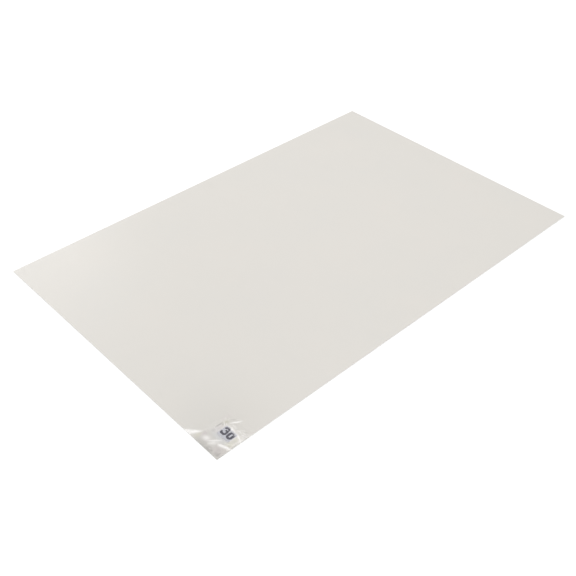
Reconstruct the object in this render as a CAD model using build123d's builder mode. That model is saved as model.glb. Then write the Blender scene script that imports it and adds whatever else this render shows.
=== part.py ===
"""Cleanroom sticky mat: a pad of peel-off tacky film sheets on a release liner.

Every sheet is clear polyethylene film with its own coat of adhesive, and the sheets lie
flush on one another. A small number label lies under one corner of each sheet. It keeps
that corner dry, so that a finger can lift it and peel the sheet off. The labels pile up
one above the other, and each sheet is draped over the labels below it, so it rises a
little higher there than the sheet before.

Frame: millimetres, +Z up. The origin is at the centre of the underside, X runs along the
long edge and Y along the short edge, and the labels are in the corner at -X and -Y.
"""

import math
import os

from build123d import *

# Outline of the pad
mat_length = 914.4  # 36 inches, along X
mat_width = 609.6  # 24 inches, along Y

# Film
sheet_count = 30
film_thickness = 0.045  # one sheet with its adhesive coat
liner_thickness = 0.08

# Number labels
label_width = 28.0  # along X
label_length = 35.0  # along Y
label_thickness = 0.05
label_corner_radius = 3.0
label_from_end = 29.5  # from the mat's short edge
label_from_side = 12.5  # from the mat's long edge

# Film draped over the labels
drape_margin = 0.8  # level film around a label before it slopes down
drape_angle = 7.5  # slope of the film, in degrees

# Places worked out from the sizes above
label_x = -mat_length / 2 + label_from_end + label_width / 2
label_y = -mat_width / 2 + label_from_side + label_length / 2


def sheet_floor(number):
    """Height of the level underside of a sheet. Sheet 1 is the lowest."""
    return liner_thickness + (number - 1) * film_thickness


def label_floor(number):
    """Height of the underside of the label that lies under the sheet of that number."""
    return sheet_floor(number) + (number - 1) * label_thickness


def mound(floor, rise, mode):
    """The low hump with a level top that film makes over a pile of labels."""
    crown_x = label_width + 2 * drape_margin
    crown_y = label_length + 2 * drape_margin
    run = rise / math.tan(math.radians(drape_angle))
    with Locations((label_x, label_y, floor)):
        Wedge(
            crown_x + 2 * run,
            rise,
            crown_y + 2 * run,
            run,
            run,
            run + crown_x,
            run + crown_y,
            rotation=(90, 0, 0),
            align=(Align.CENTER, Align.MIN, Align.CENTER),
            mode=mode,
        )


def make_liner():
    """The release liner, which covers the adhesive on the underside of the last sheet."""
    with BuildPart() as liner:
        with BuildSketch(Plane.XY):
            Rectangle(mat_length, mat_width)
        extrude(amount=liner_thickness)
    liner.part.label = "release_liner"
    return liner.part


def make_sheet(number):
    """One sheet of film, level except where it is draped over the labels."""
    floor = sheet_floor(number)
    rise = number * label_thickness
    with BuildPart() as sheet:
        with BuildSketch(Plane.XY.offset(floor)) as outline:
            Rectangle(mat_length, mat_width)
        extrude(amount=film_thickness)
        mound(floor + film_thickness, rise, Mode.ADD)
        mound(floor, rise, Mode.SUBTRACT)
        extrude(outline.sketch, amount=film_thickness + rise, mode=Mode.INTERSECT)
    sheet.part.label = f"sheet_{number:02d}"
    return sheet.part


def make_labels(numbers, name):
    """The labels under the sheets of those numbers, each one a separate solid."""
    with BuildPart() as labels:
        with BuildSketch(*[Plane.XY.offset(label_floor(number)) for number in numbers]):
            with Locations((label_x, label_y)):
                RectangleRounded(label_width, label_length, label_corner_radius)
        extrude(amount=label_thickness)
    labels.part.label = name
    return labels.part


pieces = [make_liner()]
pieces += [make_sheet(number) for number in range(1, sheet_count + 1)]
pieces.append(make_labels(range(1, sheet_count), "number_labels_below"))
pieces.append(make_labels([sheet_count], "number_label_top"))

os.makedirs("parts", exist_ok=True)
for piece in pieces:
    export_step(piece, f"parts/{piece.label}.step")
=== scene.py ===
"""Looks of the cleanroom sticky mat, in metres and in the frame of the CAD model.

The CAD nodes of the lower sheets, the labels and the liner stay and get their finishes
here. The top sheet is replaced by the same film with its creases at the tab corner, and
the number on its label is printed as two thin digits of ink.

Lengths named _mm are in millimetres. "Plan" places are millimetres from the tab corner
of the mat, first along the long edge and then along the short edge.
"""

import math

import bmesh
import bpy
import numpy as np
from mathutils import Matrix, Vector


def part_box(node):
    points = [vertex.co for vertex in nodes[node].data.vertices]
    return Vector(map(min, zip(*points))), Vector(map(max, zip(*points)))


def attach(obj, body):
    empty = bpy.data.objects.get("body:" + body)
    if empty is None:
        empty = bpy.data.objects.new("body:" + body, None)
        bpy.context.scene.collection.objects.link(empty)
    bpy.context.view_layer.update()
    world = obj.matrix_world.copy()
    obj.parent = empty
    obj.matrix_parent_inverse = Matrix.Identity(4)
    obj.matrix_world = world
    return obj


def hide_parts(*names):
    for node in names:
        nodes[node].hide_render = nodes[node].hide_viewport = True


MM = 0.001

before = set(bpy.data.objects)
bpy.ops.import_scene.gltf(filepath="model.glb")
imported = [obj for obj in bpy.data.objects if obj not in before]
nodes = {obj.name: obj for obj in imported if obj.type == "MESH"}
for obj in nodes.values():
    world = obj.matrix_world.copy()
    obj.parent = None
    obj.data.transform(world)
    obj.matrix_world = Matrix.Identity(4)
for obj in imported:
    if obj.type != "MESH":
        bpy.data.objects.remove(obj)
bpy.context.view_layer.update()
scene = bpy.context.scene

# Sizes and places of the mat. The first three are those of the CAD model

FILM_MM = 0.045  # one sheet
DRAPE_SLOPE = math.tan(math.radians(7.5))  # of the film beside the labels
DRAPE_MARGIN_MM = 0.8  # level film round the labels
sheet_low, sheet_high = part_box("sheet_30")
label_low, label_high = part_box("number_label_top")
mat_length_mm = (sheet_high.x - sheet_low.x) / MM
mat_width_mm = (sheet_high.y - sheet_low.y) / MM
rise_mm = (sheet_high.z - sheet_low.z) / MM - FILM_MM
label_left, label_right = [(edge.x - sheet_low.x) / MM for edge in (label_low, label_high)]
label_near, label_far = [(edge.y - sheet_low.y) / MM for edge in (label_low, label_high)]


# Camera: the photograph's view, worked out from the four corners of the mat

CAMERA_AT = (-0.91576, -0.97728, 1.01068)  # from the middle of the mat's top face
CAMERA_AHEAD = (0.530275, 0.551338, -0.644077)
CAMERA_UP = (0.440534, 0.469899, 0.764934)
CAMERA_LENS, CAMERA_SENSOR = 53.167, 36.0
CAMERA_SHIFT_X = -0.03757


def make_camera():
    data = bpy.data.cameras.new("camera")
    data.sensor_width = CAMERA_SENSOR
    data.sensor_fit = "HORIZONTAL"
    data.lens = CAMERA_LENS
    data.shift_x = CAMERA_SHIFT_X
    data.clip_start = 0.05
    camera = bpy.data.objects.new("camera", data)
    scene.collection.objects.link(camera)
    ahead = Vector(CAMERA_AHEAD).normalized()
    right = ahead.cross(Vector(CAMERA_UP)).normalized()
    up = right.cross(ahead)
    turn = Matrix((right, up, -ahead)).transposed().to_4x4()
    level_top = Vector((0, 0, sheet_low.z + FILM_MM * MM))
    camera.matrix_world = Matrix.Translation(Vector(CAMERA_AT) + level_top) @ turn
    scene.camera = camera


# Node helpers


def add(tree, kind, inputs=(), **attributes):
    """A node with its attributes set. An input gets a value, or a link to an output."""
    made = tree.nodes.new(kind)
    for name, value in attributes.items():
        setattr(made, name, value)
    for name, value in dict(inputs).items():
        if isinstance(value, bpy.types.NodeSocket):
            tree.links.new(value, made.inputs[name])
        else:
            made.inputs[name].default_value = value
    return made


def new_material(name):
    material = bpy.data.materials.new(name)
    material.use_nodes = True
    material.node_tree.nodes.clear()
    return material, material.node_tree


def math_node(tree, operation, first, second=0.0, clamp=False):
    made = add(tree, "ShaderNodeMath", {0: first, 1: second}, operation=operation)
    made.use_clamp = clamp
    return made.outputs[0]


def mix_colour(tree, factor, first, second, blend="MIX"):
    """The mix of two colours. Inputs 6 and 7 of a colour mix are A and B."""
    made = add(tree, "ShaderNodeMix", {0: factor, 6: first, 7: second},
               data_type="RGBA", blend_type=blend)
    return made.outputs[2]


def noise(tree, position, scale, detail=2.0, roughness=0.5):
    made = add(tree, "ShaderNodeTexNoise",
               {"Vector": position, "Scale": scale, "Detail": detail, "Roughness": roughness})
    return made.outputs[0]


def spread(tree, value, low, high):
    """A noise, which is mostly from 0.25 to 0.75, taken to the range from low to high."""
    made = add(tree, "ShaderNodeMapRange", {"Value": value, "From Min": 0.25, "From Max": 0.75,
                                            "To Min": low, "To Max": high})
    return made.outputs[0]


def bump(tree, height, distance, strength=1.0):
    made = add(tree, "ShaderNodeBump",
               {"Height": height, "Distance": distance, "Strength": strength})
    return made.outputs[0]


def place(tree):
    return add(tree, "ShaderNodeTexCoord").outputs["Object"]


def principled(tree, inputs):
    shader = add(tree, "ShaderNodeBsdfPrincipled", inputs)
    add(tree, "ShaderNodeOutputMaterial", {"Surface": shader.outputs[0]})
    return shader


# Shape of the top film

EDGE_LINE_MM = 0.12  # from the cut edges of the film to the nearest line of its mesh
SHOWN_FILM_MM = 0.03  # the film's upper part, which leaves room for the ink under it
MOUND_ROUNDING_MM = 0.12  # softens the foot of the slope beside the labels

# The mesh of the film: step at the tab corner, how far it goes on, and the widest step
FINE_STEP_MM, FINE_END_MM, COARSE_STEP_MM = 0.65, 84, 16

# Zones of the tab corner: where they fade out along the long and along the short edge
TAB_ZONE = ((48, 76), (52, 78))  # the loose film round the label
LOOSE_TIP = ((16, 30), (42, 58))  # the tip of the tab, whose rim isn't stuck down
GREY_SHADE_CORNER = ((18, 34), (50, 66))  # where the film stands off the sheets below: greyer clear film, with painted shade of the gap under it
LIFTED_EDGE = (50, 66)  # along the short edge

# Waves of the film: height, how many, longest and shortest in millimetres, and seed
TAB_WAVES = [(0.35, 9, 22, 9, 3), (0.10, 9, 7, 3.5, 5)]
LEVEL_WAVES = (0.05, 7, 260, 120, 11)

# How far the loose edge and tip stand up and over what distance, and how far in from the
# stuck rim the film is held down
EDGE_LIFT_MM, EDGE_REACH_MM = 0.3, 6
TIP_LIFT_MM, TIP_REACH_MM = 0.4, 14
HELD_REACH_MM = 5

# The fold at the edge of the tab: start, end, height, half width at its start and its end
FOLD = ((-1.5, 74.2), (20.5, 56.2), 2.6, 5.0, 1.6)
FOLD_MOUTH_MM = (-1.0, 5.0)  # where it opens, going in from the edge
FOLD_GLINT_MM = 0.8  # the height at which its painted highlight is all white

# Creases in plan: start, end, height, width to the left and right of the line, bow, and
# how white the crest is, from stretching and as a painted highlight. Below zero it is painted
# shade
CREASES = [
    ((9.5, 40.0), (28.5, 21.5), 0.9, 1.0, 1.6, 0.3, 1.0),
    ((18.2, 22.5), (26.8, -1.0), 1.3, 1.9, 2.0, -0.3, 1.7),
    ((57.0, 41.0), (77.0, 31.2), 0.7, 1.0, 1.4, 0.0, 1.05),
    ((52.5, 19.0), (46.5, 1.0), 0.7, 1.6, 1.5, 0.5, 1.15),
    ((49.5, 24.0), (56.5, 33.0), 0.5, 1.3, 1.6, 0.3, 0.85),
    ((56.3, 22.0), (58.8, 11.0), 0.35, 0.8, 0.9, 0.3, 0.7),
    ((60.2, 14.0), (61.0, 3.5), 0.3, 0.8, 0.8, 0.2, 0.5),
    ((53.8, 16.0), (55.8, 5.0), 0.3, 0.7, 0.8, 0.2, -0.55),
    ((61.5, 37.0), (65.5, 27.0), 0.25, 0.7, 0.8, 0.2, -0.45),
    ((57.5, 37.0), (60.5, 26.0), 0.3, 0.8, 0.9, 0.2, 0.55),
    ((57.0, 27.0), (59.5, 19.5), 0.2, 0.7, 0.7, 0.2, -0.6),
    ((62.0, 13.0), (66.0, 6.0), 0.2, 0.8, 0.8, 0.3, -0.5),
    ((48.0, 41.5), (53.5, 47.0), 0.25, 0.6, 0.7, 0.2, 0.8),
    ((50.0, 39.5), (56.0, 45.0), 0.25, 0.6, 0.7, 0.2, 0.7),
    ((47.0, 41.0), (55.5, 50.0), 0.4, 1.0, 1.2, 0.2, 0.4),
    ((32.0, 42.5), (40.5, 49.5), 0.3, 0.9, 1.2, 0.5, 0.25),
    ((56.0, 23.0), (61.5, 11.0), 0.35, 0.9, 1.0, 0.4, 0.35),
    ((60.0, 20.0), (67.0, 12.5), 0.3, 0.9, 1.1, -0.4, 0.3),
    ((55.0, 11.5), (60.0, 1.0), 0.35, 1.1, 1.0, 0.3, 0.5),
    ((8.0, 34.5), (18.5, 24.0), 0.5, 2.4, 2.8, 0.5, 0.6),
    ((26.0, 16.0), (34.5, 6.0), 0.3, 1.5, 1.5, -0.4, 0.15),
]

# Soft patches of each tone: middle, size, turn in degrees and amount
# White: painted highlights and glare on the film, over some milky haze of the film itself
GLINT_AND_HAZE_PATCHES = [
    ((14.3, 43.2), (4.8, 6.5), 20, 0.72),
    ((16.3, 29.3), (4.4, 5.2), 0, 0.60),
    ((20.5, 25.5), (5, 4), -40, 0.40),
    ((24.5, 5.0), (2.4, 4.0), 25, 0.55),
    ((52.8, 27.5), (2.4, 9.5), 0, 0.62),
    ((52.0, 27.6), (2.6, 2.2), 40, 1.30),
    ((46.8, 27.0), (3.0, 1.0), 0, 0.85),
    ((58.5, 27), (1.6, 5), 0, 0.35),
    ((21.0, 17.0), (2.0, 3.2), 20, 0.90),
    ((49.0, 16.4), (3.2, 3.0), 0, 0.62),
    ((50.8, 22.0), (2.0, 5.0), 0, 0.50),
    ((51.0, 34), (2.0, 5.0), 0, 0.36),
]
# Grey: painted shade at the edges, the tip and round the label, over the greyer tone of the
# clear film
GREY_SHADE_PATCHES = [
    ((38, 45), (80, 80), 0, 0.16),
    ((5, 40), (8, 20), 0, 0.64),
    ((5.5, 8), (6.0, 9), 0, 0.80),
    ((8.5, 5.5), (5.5, 2.5), 0, 0.88),
    ((4.5, 19), (3.0, 4.0), 0, 0.95),
    ((4, 25), (7, 10), 0, 0.84),
    ((12, 12), (9, 10), 0, 0.57),
    ((17, 52), (6, 4), 0, 0.42),
    ((43.5, 49.2), (9, 1.8), 0, 0.95),
    ((31.2, 27), (4.0, 14), 0, 0.34),
    ((30, 7), (6, 6), 0, 0.52),
    ((41, 8), (8, 5), 0, 0.40),
    ((58, 4), (5, 4), 0, 0.62),
    ((33, 1.5), (10, 2.5), 0, 0.60),
    ((30, 47), (7, 5), 0, 0.36),
    ((50, 45.5), (3.5, 2.5), 0, 0.75),
    ((55, 45.5), (5, 3.5), 0, 0.60),
    ((67.5, 43.0), (6, 1.5), -32, 0.45),
]
OLIVE_PATCHES = [((30, 7), (7, 6), 0, 0.9), ((43, 8), (6, 4), 0, 0.6),
                 ((55, 46), (5, 4), 0, 0.8), ((9, 57), (6, 4), 0, 0.6)]
MAUVE_PATCHES = [((17, 52), (6, 4), 0, 0.9), ((13, 42), (5, 8), 20, 0.6),
                 ((12, 13), (9, 10), 0, 0.6), ((38, 45), (9, 4), 0, 0.5),
                 ((24, 3), (5, 5), 0, 0.5), ((62, 55), (9, 4), 0, 0.4)]
COOL_PATCHES = [((29, 30), (6, 15), 0, 1.0), ((36, 43), (8, 5), 0, 0.5)]
# Rim: painted shade at the tip of the tab
RIM_SHADE_PATCHES = [((5, 5), (2.6, 2.2), 0, 0.45)]

# Small creases where the film is crumpled: the box they lie in, and how many
CRUMPLES = [((49, 1), (64, 26), 16), ((34, 44), (62, 54), 10), ((4, 2), (26, 50), 9)]

# The clear film over the label. It clears at the left and the near edge of the label and
# turns milky again at the right and the far edge, each time from one distance inwards from
# that edge to another
CLEAR_COVER = 0.10  # how much of the label it still hides
WHITE_GLINT_COVER = 0.9  # the same for film that is white, partly from stretching and partly as a painted highlight
CLEAR_LEFT, CLEAR_NEAR = (-1.0, 4.5), (-0.8, 1.6)
CLEAR_RIGHT, CLEAR_FAR = (7.0, 4.3), (10.2, 6.4)
BESIDE_ZERO_MM = 4.0  # how much sooner it turns milky at the top of the 0
ZERO_FADE = (27, 32)  # from the 0 to the 3, along the short edge
PALE, PALE_FROM_TO = 1.1, (32, 38)  # how pale the half-clear film is, and where it doubles: painted light that offsets the shade under the film

GREY_SHADE_AMOUNT = 0.42  # of the grey in the corner zone above: greyer clear film with painted shade

# The dark rim at the short edge, painted shade where the film lifts: how dark and wide, and
# where it starts and ends
RIM_SHADE_DARK, RIM_WIDE_MM = 0.5, 2.4
RIM_STARTS, RIM_ENDS = (2, 22), (40, 60)


def along_and_across(x, y, start, end, bow=0.0):
    """The share of the way from start to end, and the distance to the left of that line."""
    dx, dy = end[0] - start[0], end[1] - start[1]
    length = math.hypot(dx, dy)
    share = ((x - start[0]) * dx + (y - start[1]) * dy) / length**2
    left = ((y - start[1]) * dx - (x - start[0]) * dy) / length
    return share, left - bow * (1 - (2 * share - 1) ** 2)


def crease(x, y, start, end, width_left, width_right, bow, crest=1.35):
    """A long ridge of height 1 with a narrow crest that runs out at both ends."""
    share, left = along_and_across(x, y, start, end, bow)
    width = np.where(left > 0, width_left, width_right)
    across = np.exp(-((np.abs(left) / width) ** crest))
    return across * np.sin(np.pi * np.clip(share, 0, 1)) ** 0.75


def crumples():
    """The small creases, as entries like those of CREASES: painted shade on some, a painted
    highlight on the rest.
    """
    rng = np.random.default_rng(21)
    made = []
    for low, high, count in CRUMPLES:
        for _ in range(count):
            start = rng.uniform(low, high)
            turn, length = rng.uniform(0, math.pi), rng.uniform(4, 9)
            end = start + length * np.array([math.cos(turn), math.sin(turn)])
            made.append((start, end, rng.uniform(0.1, 0.25), rng.uniform(0.6, 1.0),
                         rng.uniform(0.7, 1.1), rng.uniform(-0.6, 0.6),
                         rng.uniform(-0.35, 0.4)))
    return made


def soft_step(value, low, high):
    """Zero up to low, one from high on, and smooth between them."""
    t = np.clip((value - low) / (high - low), 0, 1)
    return t * t * (3 - 2 * t)


def zone(x, y, fade_x, fade_y):
    """One at the tab corner and zero past the two fades."""
    return (1 - soft_step(x, *fade_x)) * (1 - soft_step(y, *fade_y))


def tent(x, y):
    """A fold that is widest at the edge of the film and runs out to a point."""
    start, end, height, width_open, width_end = FOLD
    share, left = along_and_across(x, y, start, end)
    share = np.clip(share, 0, 1)
    width = width_open + (width_end - width_open) * share
    return height * (1 - share) ** 1.1 * np.exp(-((np.abs(left) / width * 1.3) ** 1.8))


def pucker(x, y):
    """The fold, closed at the edge of the film, where it is pressed down."""
    return tent(x, y) * soft_step(x, *FOLD_MOUTH_MM)


def mound(x, y):
    """The rise of the film over the pile of labels, as in the CAD model."""
    out_x = np.maximum(label_left - x, x - label_right)
    out_y = np.maximum(label_near - y, y - label_far)
    out = np.maximum(out_x, out_y) - DRAPE_MARGIN_MM
    slope = np.minimum(rise_mm - out * DRAPE_SLOPE, rise_mm)
    soft = MOUND_ROUNDING_MM
    return (slope + np.sqrt(slope**2 + soft**2)) / 2 - soft**2 / (4 * rise_mm)


def ripples(x, y, count, longest, shortest, seed):
    """Gentle waves of mixed directions, from 0 to 1."""
    rng = np.random.default_rng(seed)
    total = np.zeros_like(x)
    for turn, length, phase in zip(rng.uniform(0, math.pi, count),
                                   rng.uniform(shortest, longest, count),
                                   rng.uniform(0, 2 * math.pi, count)):
        total += np.sin((x * math.cos(turn) + y * math.sin(turn)) * 2 * math.pi / length + phase)
    return 0.5 + total / (2 * count)


def film_height(x, y):
    """The height of the film's upper face above its level, in millimetres."""
    height = pucker(x, y)
    for start, end, tall, left, right, bow, _ in CREASES + crumples():
        height += tall * crease(x, y, start, end, left, right, bow)
    for tall, *waves in TAB_WAVES:
        height += zone(x, y, *TAB_ZONE) * tall * ripples(x, y, *waves)
    from_rim = soft_step(np.minimum(x, y), 0, HELD_REACH_MM)
    held = (1 - zone(x, y, *LOOSE_TIP)) * (1 - from_rim)
    height = mound(x, y) + height * (1 - held)
    tall, *waves = LEVEL_WAVES
    height += tall * ripples(x, y, *waves)
    edge_lift = np.exp(-((x / EDGE_REACH_MM) ** 2)) * (1 - soft_step(y, *LIFTED_EDGE))
    tip_lift = np.exp(-((np.hypot(x, y) / TIP_REACH_MM) ** 2))
    return height + EDGE_LIFT_MM * edge_lift + TIP_LIFT_MM * tip_lift


def grid_lines(end, fine_end, fine_step, coarse_step):
    """Lines that are close together near 0 and open out to the coarse step. One more
    line close to each end keeps the shading of the flat film off its cut edges."""
    lines = [0.0, EDGE_LINE_MM]
    step = fine_step
    while lines[-1] + 1.5 * step < end - EDGE_LINE_MM:
        lines.append(lines[-1] + step)
        if lines[-1] > fine_end:
            step = min(step * 1.2, coarse_step)
    return np.array(lines + [end - EDGE_LINE_MM, end])


def sheet_faces(wide, tall):
    """The faces of a thin sheet whose two layers are grids of points, and its rim."""
    count = wide * tall
    index = np.arange(count).reshape(tall, wide)
    a, b = index[:-1, :-1].ravel(), index[:-1, 1:].ravel()
    c, d = index[1:, 1:].ravel(), index[1:, :-1].ravel()
    rim = np.concatenate([index[0, :-1], index[:-1, -1], index[-1, :0:-1], index[:0:-1, 0]])
    ahead = np.roll(rim, -1)
    faces = [np.stack([a, b, c, d], 1), np.stack([a, d, c, b], 1) + count,
             np.stack([rim, rim + count, ahead + count, ahead], 1)]
    return np.concatenate(faces), rim


def make_top_film():
    """The top sheet as a closed thin mesh. Where its rim is stuck down, its lower layer
    reaches down to the sheet below."""
    xs = grid_lines(mat_length_mm, FINE_END_MM, FINE_STEP_MM, COARSE_STEP_MM)
    ys = grid_lines(mat_width_mm, FINE_END_MM, FINE_STEP_MM, COARSE_STEP_MM)
    x, y = (g.ravel() for g in np.meshgrid(xs, ys))
    top = sheet_low.z / MM + FILM_MM + film_height(x, y)
    faces, rim = sheet_faces(len(xs), len(ys))
    stuck = np.zeros(len(x))
    stuck[rim] = 1 - zone(x[rim], y[rim], *LOOSE_TIP)
    bottom = (1 - stuck) * (top - SHOWN_FILM_MM) + stuck * sheet_low.z / MM
    at_x, at_y = sheet_low.x + x * MM, sheet_low.y + y * MM
    points = [np.stack([at_x, at_y, height * MM], 1) for height in (top, bottom)]
    mesh = bpy.data.meshes.new("top_film")
    mesh.from_pydata(np.concatenate(points).tolist(), [], faces.tolist())
    smooth = np.ones(len(mesh.polygons), bool)
    smooth[-len(rim):] = False
    mesh.polygons.foreach_set("use_smooth", smooth)
    upper_marks, lower_marks = film_marks(x, y)
    for name in MARKS:
        values = np.concatenate([upper_marks[name], lower_marks[name]])
        attribute = mesh.attributes.new(name, "FLOAT", "POINT")
        attribute.data.foreach_set("value", values.astype(np.float32))
    mesh.update()
    film = bpy.data.objects.new("top_film", mesh)
    scene.collection.objects.link(film)
    return film


def blob(x, y, middle, size, turn=0.0):
    """A soft round patch."""
    c, s = math.cos(math.radians(turn)), math.sin(math.radians(turn))
    u = (x - middle[0]) * c + (y - middle[1]) * s
    v = -(x - middle[0]) * s + (y - middle[1]) * c
    return np.exp(-((u / size[0]) ** 2) - (v / size[1]) ** 2)


def patches(x, y, several):
    """The strongest of several soft patches at each point."""
    return np.max([amount * blob(x, y, *shape) for *shape, amount in several], axis=0)


def clear_zone(x, y):
    """One where the label shows through clear film, and zero where the film is milky."""
    sooner = BESIDE_ZERO_MM * (1 - soft_step(y, *ZERO_FADE))
    clear = soft_step(x, label_left + CLEAR_LEFT[0], label_left + CLEAR_LEFT[1])
    clear *= 1 - soft_step(x, label_right - CLEAR_RIGHT[0] - sooner,
                           label_right - CLEAR_RIGHT[1])
    clear *= soft_step(y, label_near + CLEAR_NEAR[0], label_near + CLEAR_NEAR[1])
    clear *= 1 - soft_step(y, label_far - CLEAR_FAR[0], label_far - CLEAR_FAR[1])
    return clear


# The film's marks: how much it covers what is under it, and how much of each tone it has
MARKS = ("cover", "pale", "white", "grey", "rim", "olive", "mauve", "cool")


def film_marks(x, y):
    """The marks of the film's upper and of its lower face. Over the label the lower face
    is clear, so that the film counts once there."""
    clear = clear_zone(x, y)
    # White: painted highlight on the fold and in the patches, partly the film's own haze
    white = np.clip(tent(x, y) / FOLD_GLINT_MM, 0, 1.3)
    white = np.maximum(white, patches(x, y, GLINT_AND_HAZE_PATCHES))
    # Grey: the greyer clear film, with painted shade
    grey = np.maximum(GREY_SHADE_AMOUNT * zone(x, y, *GREY_SHADE_CORNER), patches(x, y, GREY_SHADE_PATCHES))
    # Crests of creases get a painted highlight, and those below zero painted shade
    for start, end, _, left, right, bow, amount in CREASES + crumples():
        line = crease(x, y, start, end, left, right, bow, crest=1.6)
        white = np.maximum(white, amount * line)
        grey = np.maximum(grey, -amount * line)
    # Rim: painted shade along the lifted short edge and at the tip
    rim = RIM_SHADE_DARK * np.exp(-((x / RIM_WIDE_MM) ** 2))
    rim *= (1 - soft_step(y, *RIM_ENDS)) * soft_step(y, *RIM_STARTS)
    cover = np.maximum(1 - (1 - CLEAR_COVER) * clear, WHITE_GLINT_COVER * white)
    cover = np.clip(cover, 0, 1)
    marks = {
        "cover": cover,
        # Pale: painted light on the half-clear film, offsetting the shade it casts on the label
        "pale": (1 - cover) * (PALE + PALE * soft_step(x, *PALE_FROM_TO)),
        "white": white,
        "grey": grey,
        "rim": np.maximum(rim, patches(x, y, RIM_SHADE_PATCHES)),
        "olive": patches(x, y, OLIVE_PATCHES),
        "mauve": patches(x, y, MAUVE_PATCHES),
        "cool": patches(x, y, COOL_PATCHES),
    }
    marks = {name: np.clip(values, 0, 1) for name, values in marks.items()}
    return marks, dict(marks, cover=np.where(clear > 0, 0.0, 1.0))


# Digits of ink: outlines in a box of the digit's size, with a radius at each corner

DIGIT_WIDE_MM, STROKE_MM = 11.6, 3.9
THREE_TALL_MM, ZERO_TALL_MM = 16.6, 15.3
INK_MM, INK_SUNK_MM = 0.009, 0.002  # above the face of the label, and into it
THREE_AT = (35.2, 38.5)  # plan place of the lower left corner of the 3
ZERO_AT = (35.3, 25.7)


def rounded(corners, steps=5):
    """The outline through corners (u, v, radius), with an arc in place of each corner."""
    points = []
    for i, (u, v, radius) in enumerate(corners):
        here = Vector((u, v))
        before = (Vector(corners[i - 1][:2]) - here).normalized()
        after = (Vector(corners[(i + 1) % len(corners)][:2]) - here).normalized()
        half = before.angle(after) / 2
        reach = radius / math.tan(half)
        middle = here + (before + after).normalized() * (radius / math.sin(half))
        from_point, to_point = here + before * reach, here + after * reach
        for k in range(steps + 1):
            straight = from_point.lerp(to_point, k / steps) - middle
            points.append(middle + straight.normalized() * radius)
    return points


def three_outline():
    w, h, s = DIGIT_WIDE_MM, THREE_TALL_MM, STROKE_MM
    hook = 5.6  # length of the two ends
    out = -0.8  # how far the lower bowl reaches past the upper one
    arm, low, high = 4.6, 7.9, 10.9  # the end of the middle arm, and its two sides
    outer, inner, tip = 4.7, 0.75, 0.35
    return rounded([
        (0, h, outer), (w, h, outer), (w, 0, outer - 0.5), (out, 0, outer - 0.9),
        (out, hook, tip), (out + s, hook, tip), (out + s, s, inner), (w - s, s, inner),
        (w - s, low, inner), (arm, low, tip), (arm, high, tip), (w - s, high, inner),
        (w - s, h - s, inner), (s, h - s, inner), (s, h - hook, tip), (0, h - hook, tip)])


def zero_outlines():
    w, h, s = DIGIT_WIDE_MM, ZERO_TALL_MM, STROKE_MM
    top, foot, inner = 5.4, 5.0, 1.4
    side = s + 0.4
    outline = [(0, h, top), (w, h, top), (w, 0, foot), (0, 0, foot)]
    hole = [(side, h - s, inner), (w - side, h - s, inner), (w - side, s, inner),
            (side, s, inner)]
    return rounded(outline), rounded(hole)


def to_label(point, corner):
    """From a digit's box to plan: the digit's top is at +X and it reads towards -Y."""
    return (sheet_low.x + (corner[0] + point.y) * MM,
            sheet_low.y + (corner[1] - point.x) * MM)


def make_digit(name, outlines, corner):
    """A thin solid of ink on the label. Two outlines make a ring."""
    bottom, top = label_high.z - INK_SUNK_MM * MM, label_high.z + INK_MM * MM
    made = bmesh.new()
    rings = []
    for outline in outlines:
        flat = [to_label(p, corner) for p in outline]
        rings.append([[made.verts.new((*p, z)) for p in flat] for z in (bottom, top)])
    for lower, upper in rings:
        for i in range(len(lower)):
            j = (i + 1) % len(lower)
            made.faces.new((lower[i], lower[j], upper[j], upper[i]))
    if len(rings) == 2:
        (low_out, top_out), (low_in, top_in) = rings
        for i in range(len(low_out)):
            j = (i + 1) % len(low_out)
            made.faces.new((top_out[i], top_out[j], top_in[j], top_in[i]))
            made.faces.new((low_out[i], low_in[i], low_in[j], low_out[j]))
    else:
        made.faces.new(rings[0][1])
        made.faces.new(list(reversed(rings[0][0])))
        bmesh.ops.triangulate(made, faces=[f for f in made.faces if len(f.verts) > 4])
    bmesh.ops.recalc_face_normals(made, faces=made.faces)
    mesh = bpy.data.meshes.new(name)
    made.to_mesh(mesh)
    made.free()
    digit = bpy.data.objects.new(name, mesh)
    scene.collection.objects.link(digit)
    return digit


# Finishes

FILM = (0.752, 0.730, 0.688, 1)
FILM_WARM = (0.768, 0.738, 0.690, 1)
# Painted light: the paler colour of the upright cut edges offsets the shade on them
FILM_EDGE_PAINTED_LIGHT = (0.90, 0.89, 0.87, 1)
# Painted highlight, partly the film's own whitening
FILM_WHITE_GLINT = (0.985, 0.965, 0.94, 1)
# Painted shade, over the greyer tone of the clear film
FILM_GREY_SHADE = (0.46, 0.445, 0.42, 1)
# Painted shade at the lifted rim
FILM_RIM_SHADE = (0.36, 0.35, 0.33, 1)
# Painted light on the half-clear film
FILM_CLEAR_PAINTED_LIGHT = (0.94, 0.93, 0.965, 1)
OLIVE_TINT = (1.0, 1.0, 0.90, 1)
MAUVE_TINT = (1.0, 0.95, 0.99, 1)
COOL_TINT = (0.91, 0.94, 1.0, 1)
LABEL_WHITE = (0.535, 0.54, 0.58, 1)
LABEL_SHADE = (0.515, 0.52, 0.565, 1)
INK = (0.006, 0.005, 0.022, 1)
INK_SHADE = (0.012, 0.010, 0.034, 1)
LINER = (0.80, 0.80, 0.78, 1)
LINER_SHADE = (0.77, 0.77, 0.74, 1)
FILM_IOR = 1.5


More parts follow.
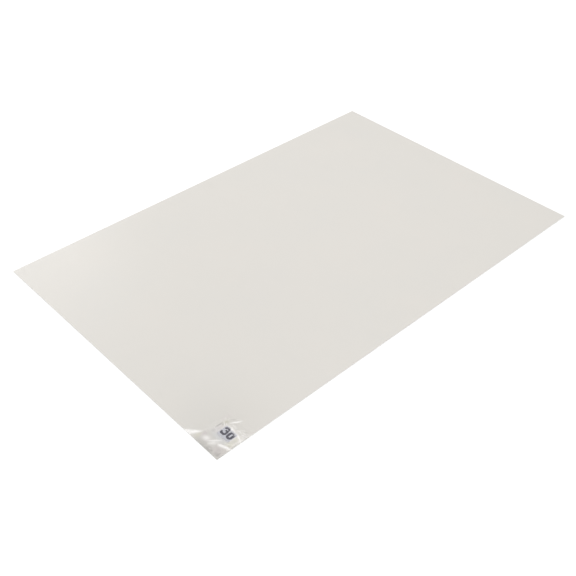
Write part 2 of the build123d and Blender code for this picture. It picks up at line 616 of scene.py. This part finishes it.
def film_material():
    """Film with its coat of adhesive: milky where it sticks, clear over the label."""
    material, tree = new_material("tacky_film_top")
    at = place(tree)
    clouds = spread(tree, noise(tree, at, 7, 3), 0.0, 1.0)
    body = mix_colour(tree, clouds, FILM, FILM_WARM)
    marks = {name: add(tree, "ShaderNodeAttribute", attribute_name=name).outputs["Fac"]
             for name in MARKS}
    # Grey: painted shade, with the greyer tone of the clear film
    body = mix_colour(tree, marks["grey"], body, FILM_GREY_SHADE)
    # Rim: painted shade at the lifted edge and the tip
    body = mix_colour(tree, marks["rim"], body, FILM_RIM_SHADE)
    body = mix_colour(tree, marks["olive"], body, OLIVE_TINT, "MULTIPLY")
    body = mix_colour(tree, marks["mauve"], body, MAUVE_TINT, "MULTIPLY")
    body = mix_colour(tree, marks["cool"], body, COOL_TINT, "MULTIPLY")
    # White: painted highlights, partly the film's own haze
    body = mix_colour(tree, marks["white"], body, FILM_WHITE_GLINT)
    # Pale: painted light on the half-clear film against the shade under it
    body = mix_colour(tree, marks["pale"], body, FILM_CLEAR_PAINTED_LIGHT)
    grain = noise(tree, at, 900, 2)
    pull = noise(tree, at, 60, 2)
    normal = bump(tree, math_node(tree, "ADD", grain, pull), 0.00002)
    roughness = spread(tree, noise(tree, at, 30, 2), 0.30, 0.36)
    principled(tree, {"Base Color": body, "Roughness": roughness, "IOR": FILM_IOR,
                      "Alpha": marks["cover"], "Normal": normal})
    return material


def sheet_material():
    """The sheets under the top one, which show at their cut edges, painted paler there as
    painted light.
    """
    material, tree = new_material("tacky_film_below")
    at = place(tree)
    body = mix_colour(tree, spread(tree, noise(tree, at, 7, 3), 0, 1), FILM, FILM_WARM)
    facing = add(tree, "ShaderNodeNewGeometry").outputs["Normal"]
    up = add(tree, "ShaderNodeSeparateXYZ", {0: facing}).outputs["Z"]
    side = math_node(tree, "LESS_THAN", math_node(tree, "ABSOLUTE", up), 0.5)
    # Painted light: the upright cut edges are made paler against the shade that falls on them
    body = mix_colour(tree, side, body, FILM_EDGE_PAINTED_LIGHT)
    normal = bump(tree, noise(tree, at, 900, 2), 0.00002)
    roughness = spread(tree, noise(tree, at, 30, 2), 0.32, 0.40)
    principled(tree, {"Base Color": body, "Roughness": roughness, "IOR": FILM_IOR,
                      "Normal": normal})
    return material


def label_material():
    material, tree = new_material("number_label")
    at = place(tree)
    fibres = spread(tree, noise(tree, at, 450, 3), 0, 1)
    body = mix_colour(tree, fibres, LABEL_WHITE, LABEL_SHADE)
    normal = bump(tree, noise(tree, at, 1500, 2), 0.00001)
    principled(tree, {"Base Color": body, "Roughness": 0.55, "Normal": normal})
    return material


def ink_material():
    material, tree = new_material("ink")
    at = place(tree)
    body = mix_colour(tree, spread(tree, noise(tree, at, 700, 3), 0, 1), INK, INK_SHADE)
    roughness = spread(tree, noise(tree, at, 900, 2), 0.40, 0.55)
    principled(tree, {"Base Color": body, "Roughness": roughness})
    return material


def liner_material():
    material, tree = new_material("release_liner")
    at = place(tree)
    clouds = spread(tree, noise(tree, at, 40, 3), 0, 1)
    body = mix_colour(tree, clouds, LINER, LINER_SHADE)
    normal = bump(tree, noise(tree, at, 300, 3), 0.00003)
    roughness = spread(tree, noise(tree, at, 120, 2), 0.26, 0.36)
    principled(tree, {"Base Color": body, "Roughness": roughness, "Normal": normal})
    return material


def dress(obj, material):
    obj.data.materials.clear()
    obj.data.materials.append(material)


# Studio: a pale floor, an even world and soft lamps, in metres and watts

FLOOR_HALF, FLOOR_AT = 6.0, -0.0002
FLOOR_LIT = (0.80, 0.80, 0.80, 1)  # for the light that it sends back to the mat
FLOOR_SHADED, FLOOR_GLOW = (0.22, 0.22, 0.22, 1), 0.86  # as the background, nearly white
WORLD_STRENGTH = 0.62
LAMPS = [  # name, place, what it points at, size and power
    ("overhead", (0.45, -0.05, 2.4), (0.45, -0.05, 0), (0.7, 0.7), 17),
    ("rear_left", (-0.28, 1.87, 0.87), (-0.45, 0.3, 0), (1.5, 1.0), 9),
    ("front", (-1.9, -2.0, 0.9), (0.0, 0.0, 0), (1.6, 0.9), 14),
]


def shown_ray(tree):
    """One where a ray shows the background: from the camera, a gloss or a clear film."""
    path = add(tree, "ShaderNodeLightPath").outputs
    first = math_node(tree, "MAXIMUM", path["Is Camera Ray"], path["Is Glossy Ray"])
    return math_node(tree, "MAXIMUM", first, path["Is Transmission Ray"], clamp=True)


def make_floor():
    data = bpy.data.meshes.new("floor")
    corners = [(-1, -1), (1, -1), (1, 1), (-1, 1)]
    data.from_pydata([(FLOOR_HALF * u, FLOOR_HALF * v, FLOOR_AT) for u, v in corners],
                     [], [(0, 1, 2, 3)])
    floor = bpy.data.objects.new("floor", data)
    scene.collection.objects.link(floor)
    material, tree = new_material("floor")
    lit = add(tree, "ShaderNodeBsdfDiffuse", {"Color": FLOOR_LIT})
    soft = add(tree, "ShaderNodeBsdfDiffuse", {"Color": FLOOR_SHADED})
    glow = add(tree, "ShaderNodeEmission", {"Strength": FLOOR_GLOW})
    seen = add(tree, "ShaderNodeAddShader", {0: soft.outputs[0], 1: glow.outputs[0]})
    mixed = add(tree, "ShaderNodeMixShader",
                {0: shown_ray(tree), 1: lit.outputs[0], 2: seen.outputs[0]})
    add(tree, "ShaderNodeOutputMaterial", {"Surface": mixed.outputs[0]})
    dress(floor, material)


def make_world(strength):
    world = bpy.data.worlds.new("studio")
    scene.world = world
    world.use_nodes = True
    tree = world.node_tree
    tree.nodes.clear()
    light = add(tree, "ShaderNodeBackground", {"Color": (1, 1, 1, 1), "Strength": strength})
    white = add(tree, "ShaderNodeBackground", {"Color": (1, 1, 1, 1), "Strength": 1.0})
    camera_ray = add(tree, "ShaderNodeLightPath").outputs["Is Camera Ray"]
    mixed = add(tree, "ShaderNodeMixShader",
                {0: camera_ray, 1: light.outputs[0], 2: white.outputs[0]})
    add(tree, "ShaderNodeOutputWorld", {"Surface": mixed.outputs[0]})


def make_lamp(name, at, aim, size, power):
    data = bpy.data.lights.new(name, "AREA")
    data.shape = "RECTANGLE"
    data.size, data.size_y = size
    data.energy = power
    lamp = bpy.data.objects.new(name, data)
    scene.collection.objects.link(lamp)
    lamp.location = at
    lamp.rotation_euler = (Vector(aim) - Vector(at)).to_track_quat("-Z", "Y").to_euler()


# Assembly

make_camera()
top_film = make_top_film()
dress(top_film, film_material())
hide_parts("sheet_30")
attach(top_film, "root")

ink = ink_material()
digits = [make_digit("digit_3", [three_outline()], THREE_AT),
          make_digit("digit_0", zero_outlines(), ZERO_AT)]
for digit in digits:
    dress(digit, ink)
    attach(digit, "root")

below, label = sheet_material(), label_material()
for name, node in nodes.items():
    if name.startswith("sheet_"):
        dress(node, below)
    elif name.startswith("number_label"):
        dress(node, label)
dress(nodes["release_liner"], liner_material())

make_floor()
make_world(WORLD_STRENGTH)
for lamp in LAMPS:
    make_lamp(*lamp)

scene.view_settings.view_transform = "Standard"
